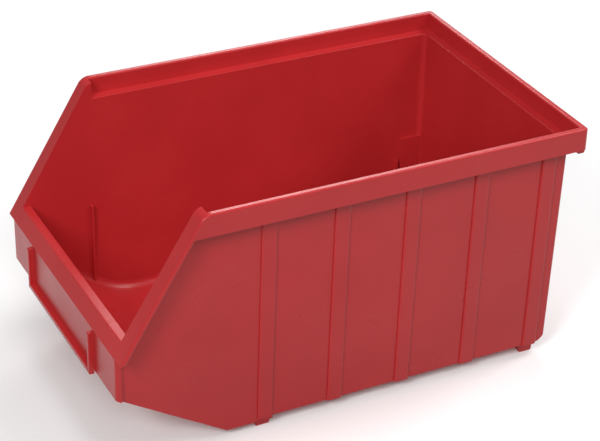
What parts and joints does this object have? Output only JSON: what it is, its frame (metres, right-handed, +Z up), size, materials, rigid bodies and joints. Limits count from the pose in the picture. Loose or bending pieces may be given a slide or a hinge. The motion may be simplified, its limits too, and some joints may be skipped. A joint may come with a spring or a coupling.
{
  "type": "stackable storage bin",
  "caption": "Open-fronted stackable plastic picking bin with a ramped front, ribbed side walls, label holder and a stepped stacking rim.",
  "frame": {"origin": "middle of the bin's bounding box in width and length, at the height of the underside of its feet", "axes": "+X across the width, towards the bin's own right-hand side as the rear wall is faced from the open front; -Y towards the open picking front; +Z up out of the mouth"},
  "size_m": [0.152, 0.248, 0.132],
  "materials": {
    "red_polypropylene": "satin moulded polypropylene, dyed red through"
  },
  "bodies": {
    "root": {"bottom_label_rail": "red_polypropylene", "floor_bend": "red_polypropylene", "floor_plate": "red_polypropylene", "front_lip": "red_polypropylene", "front_panel": "red_polypropylene", "front_ramp": "red_polypropylene", "left_floor_edge": "red_polypropylene", "left_front_flange": "red_polypropylene", "left_front_foot": "red_polypropylene", "left_front_guide": "red_polypropylene", "left_label_rail": "red_polypropylene", "left_ledge": "red_polypropylene", "left_ramp_edge": "red_polypropylene", "left_rear_foot": "red_polypropylene", "left_rear_guide": "red_polypropylene", "left_rib_1": "red_polypropylene", "left_rib_2": "red_polypropylene", "left_rib_3": "red_polypropylene", "left_rib_4": "red_polypropylene", "left_rib_5": "red_polypropylene", "left_rim": "red_polypropylene", "left_rim_end": "red_polypropylene", "left_wall": "red_polypropylene", "ramp_bend": "red_polypropylene", "rear_bead": "red_polypropylene", "rear_floor_edge": "red_polypropylene", "rear_hook": "red_polypropylene", "rear_ledge": "red_polypropylene", "rear_left_corner": "red_polypropylene", "rear_left_corner_step": "red_polypropylene", "rear_right_corner": "red_polypropylene", "rear_right_corner_step": "red_polypropylene", "rear_rim": "red_polypropylene", "rear_wall": "red_polypropylene", "right_floor_edge": "red_polypropylene", "right_front_flange": "red_polypropylene", "right_front_foot": "red_polypropylene", "right_front_guide": "red_polypropylene", "right_label_rail": "red_polypropylene", "right_ledge": "red_polypropylene", "right_ramp_edge": "red_polypropylene", "right_rear_foot": "red_polypropylene", "right_rear_guide": "red_polypropylene", "right_rib_1": "red_polypropylene", "right_rib_2": "red_polypropylene", "right_rib_3": "red_polypropylene", "right_rib_4": "red_polypropylene", "right_rib_5": "red_polypropylene", "right_rim": "red_polypropylene", "right_rim_end": "red_polypropylene", "right_wall": "red_polypropylene", "stacking_toe": "red_polypropylene"}
  },
  "joints": []
}
